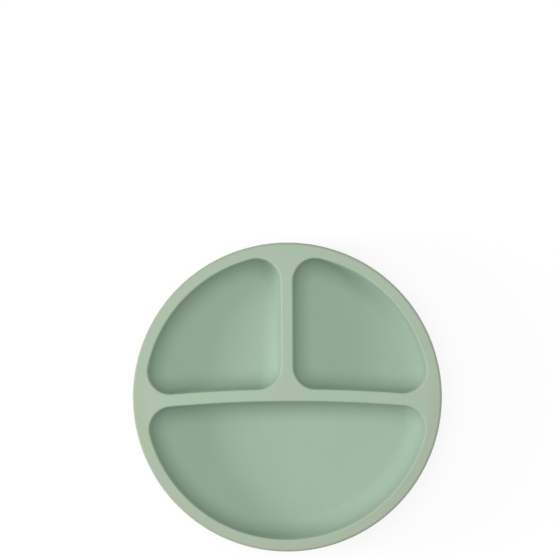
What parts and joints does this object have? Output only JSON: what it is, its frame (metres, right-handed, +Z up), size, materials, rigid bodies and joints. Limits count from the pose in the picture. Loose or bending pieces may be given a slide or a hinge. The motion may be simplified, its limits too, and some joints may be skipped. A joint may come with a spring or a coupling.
{
  "type": "divided suction plate",
  "caption": "Round divided plate with deep pockets in a flat deck and a suction skirt with a release tab under its base, moulded in one piece of soft silicone.",
  "frame": {"origin": "on the table, under the centre of the round plate", "axes": "+Z up, +Y from the half-moon pocket to the two small pockets, +X to the right"},
  "size_m": [0.185, 0.185, 0.0279],
  "materials": {
    "silicone": "matte sage green"
  },
  "bodies": {
    "root": {"plate": "silicone"}
  },
  "joints": []
}
